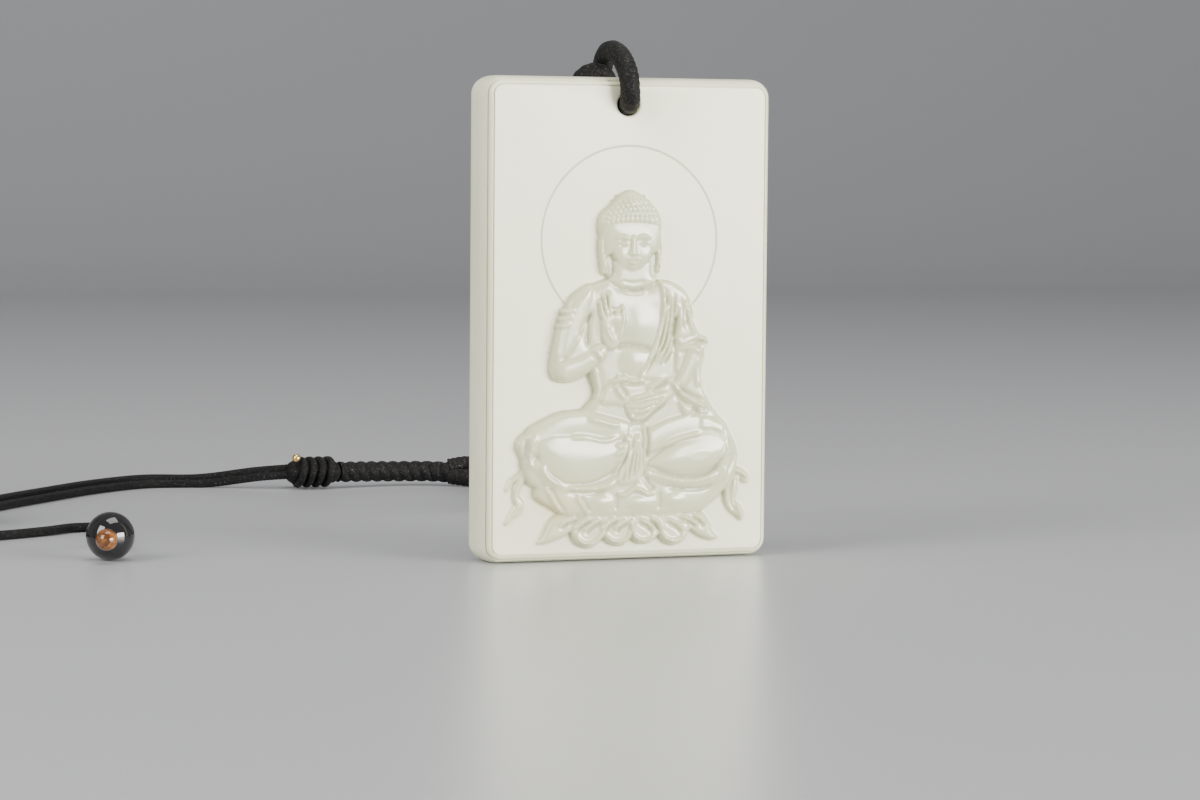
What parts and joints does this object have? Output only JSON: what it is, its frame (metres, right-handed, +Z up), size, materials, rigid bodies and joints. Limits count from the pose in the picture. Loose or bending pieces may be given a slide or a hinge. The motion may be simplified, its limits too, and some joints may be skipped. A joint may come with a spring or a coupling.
{
  "type": "carved jade pendant plaque",
  "caption": "Rectangular pale jade pendant plaque with a low-relief seated figure, on a black braided cord with snake knots, a gathering knot, a sliding knot and beaded tails.",
  "frame": {"origin": "the middle of the plaque's bottom edge, at half of its depth with the carving", "axes": "+Z up along the plaque's height, +X to the right seen from the front, and the carved face towards -Y"},
  "size_m": [0.1238, 0.1178, 0.0646],
  "materials": {
    "jade": "polished, faintly translucent pale celadon nephrite",
    "hanging_braid": "round braid of fine black threads",
    "neck_twist": "tight black waxed cord",
    "knot_wrap": "thin black cord wound and knotted tight",
    "onyx": "black onyx, high polish",
    "amber_brown": "honey-brown agate, high polish",
    "gold": "polished gold"
  },
  "bodies": {
    "cord_set": {"hanging_cord": "hanging_braid", "snake_knots": "knot_wrap", "gather_knot": "hanging_braid", "binding_wraps": "knot_wrap", "gold_bead": "gold", "neck_cord_a": "neck_twist", "neck_cord_b": "neck_twist", "cord_coil": "neck_twist", "tail_cord_a": "neck_twist", "tail_cord_b": "neck_twist", "stop_knot_a": "neck_twist", "end_bead_a": "amber_brown", "stop_knot_b": "neck_twist", "end_bead_b": "amber_brown"},
    "plaque": {"jade_plaque": "jade"},
    "adjuster": {"adjuster_knot": "knot_wrap"},
    "black_bead_a": {"onyx_bead_a": "onyx"},
    "black_bead_b": {"onyx_bead_b": "onyx"}
  },
  "joints": [
    {"name": "pendant_swing", "type": "hinge", "parent": "cord_set", "child": "plaque", "pos_m": [-0.0004, 0.0009, 0.0566], "axis": [0, 1, 0], "range_deg": [-20, 20]},
    {"name": "adjuster_slide", "type": "slide", "parent": "cord_set", "child": "adjuster", "axis": [1, 0, 0], "range_m": [-0.003, 0.003]},
    {"name": "bead_a_spin", "type": "hinge", "parent": "cord_set", "child": "black_bead_a", "pos_m": [-0.0613, 0.0156, 0.003], "axis": [-0.3162, -0.9487, 0], "continuous": true},
    {"name": "bead_b_spin", "type": "hinge", "parent": "cord_set", "child": "black_bead_b", "pos_m": [-0.0995, 0.016, 0.003], "axis": [0.3162, -0.9487, 0], "continuous": true}
  ]
}
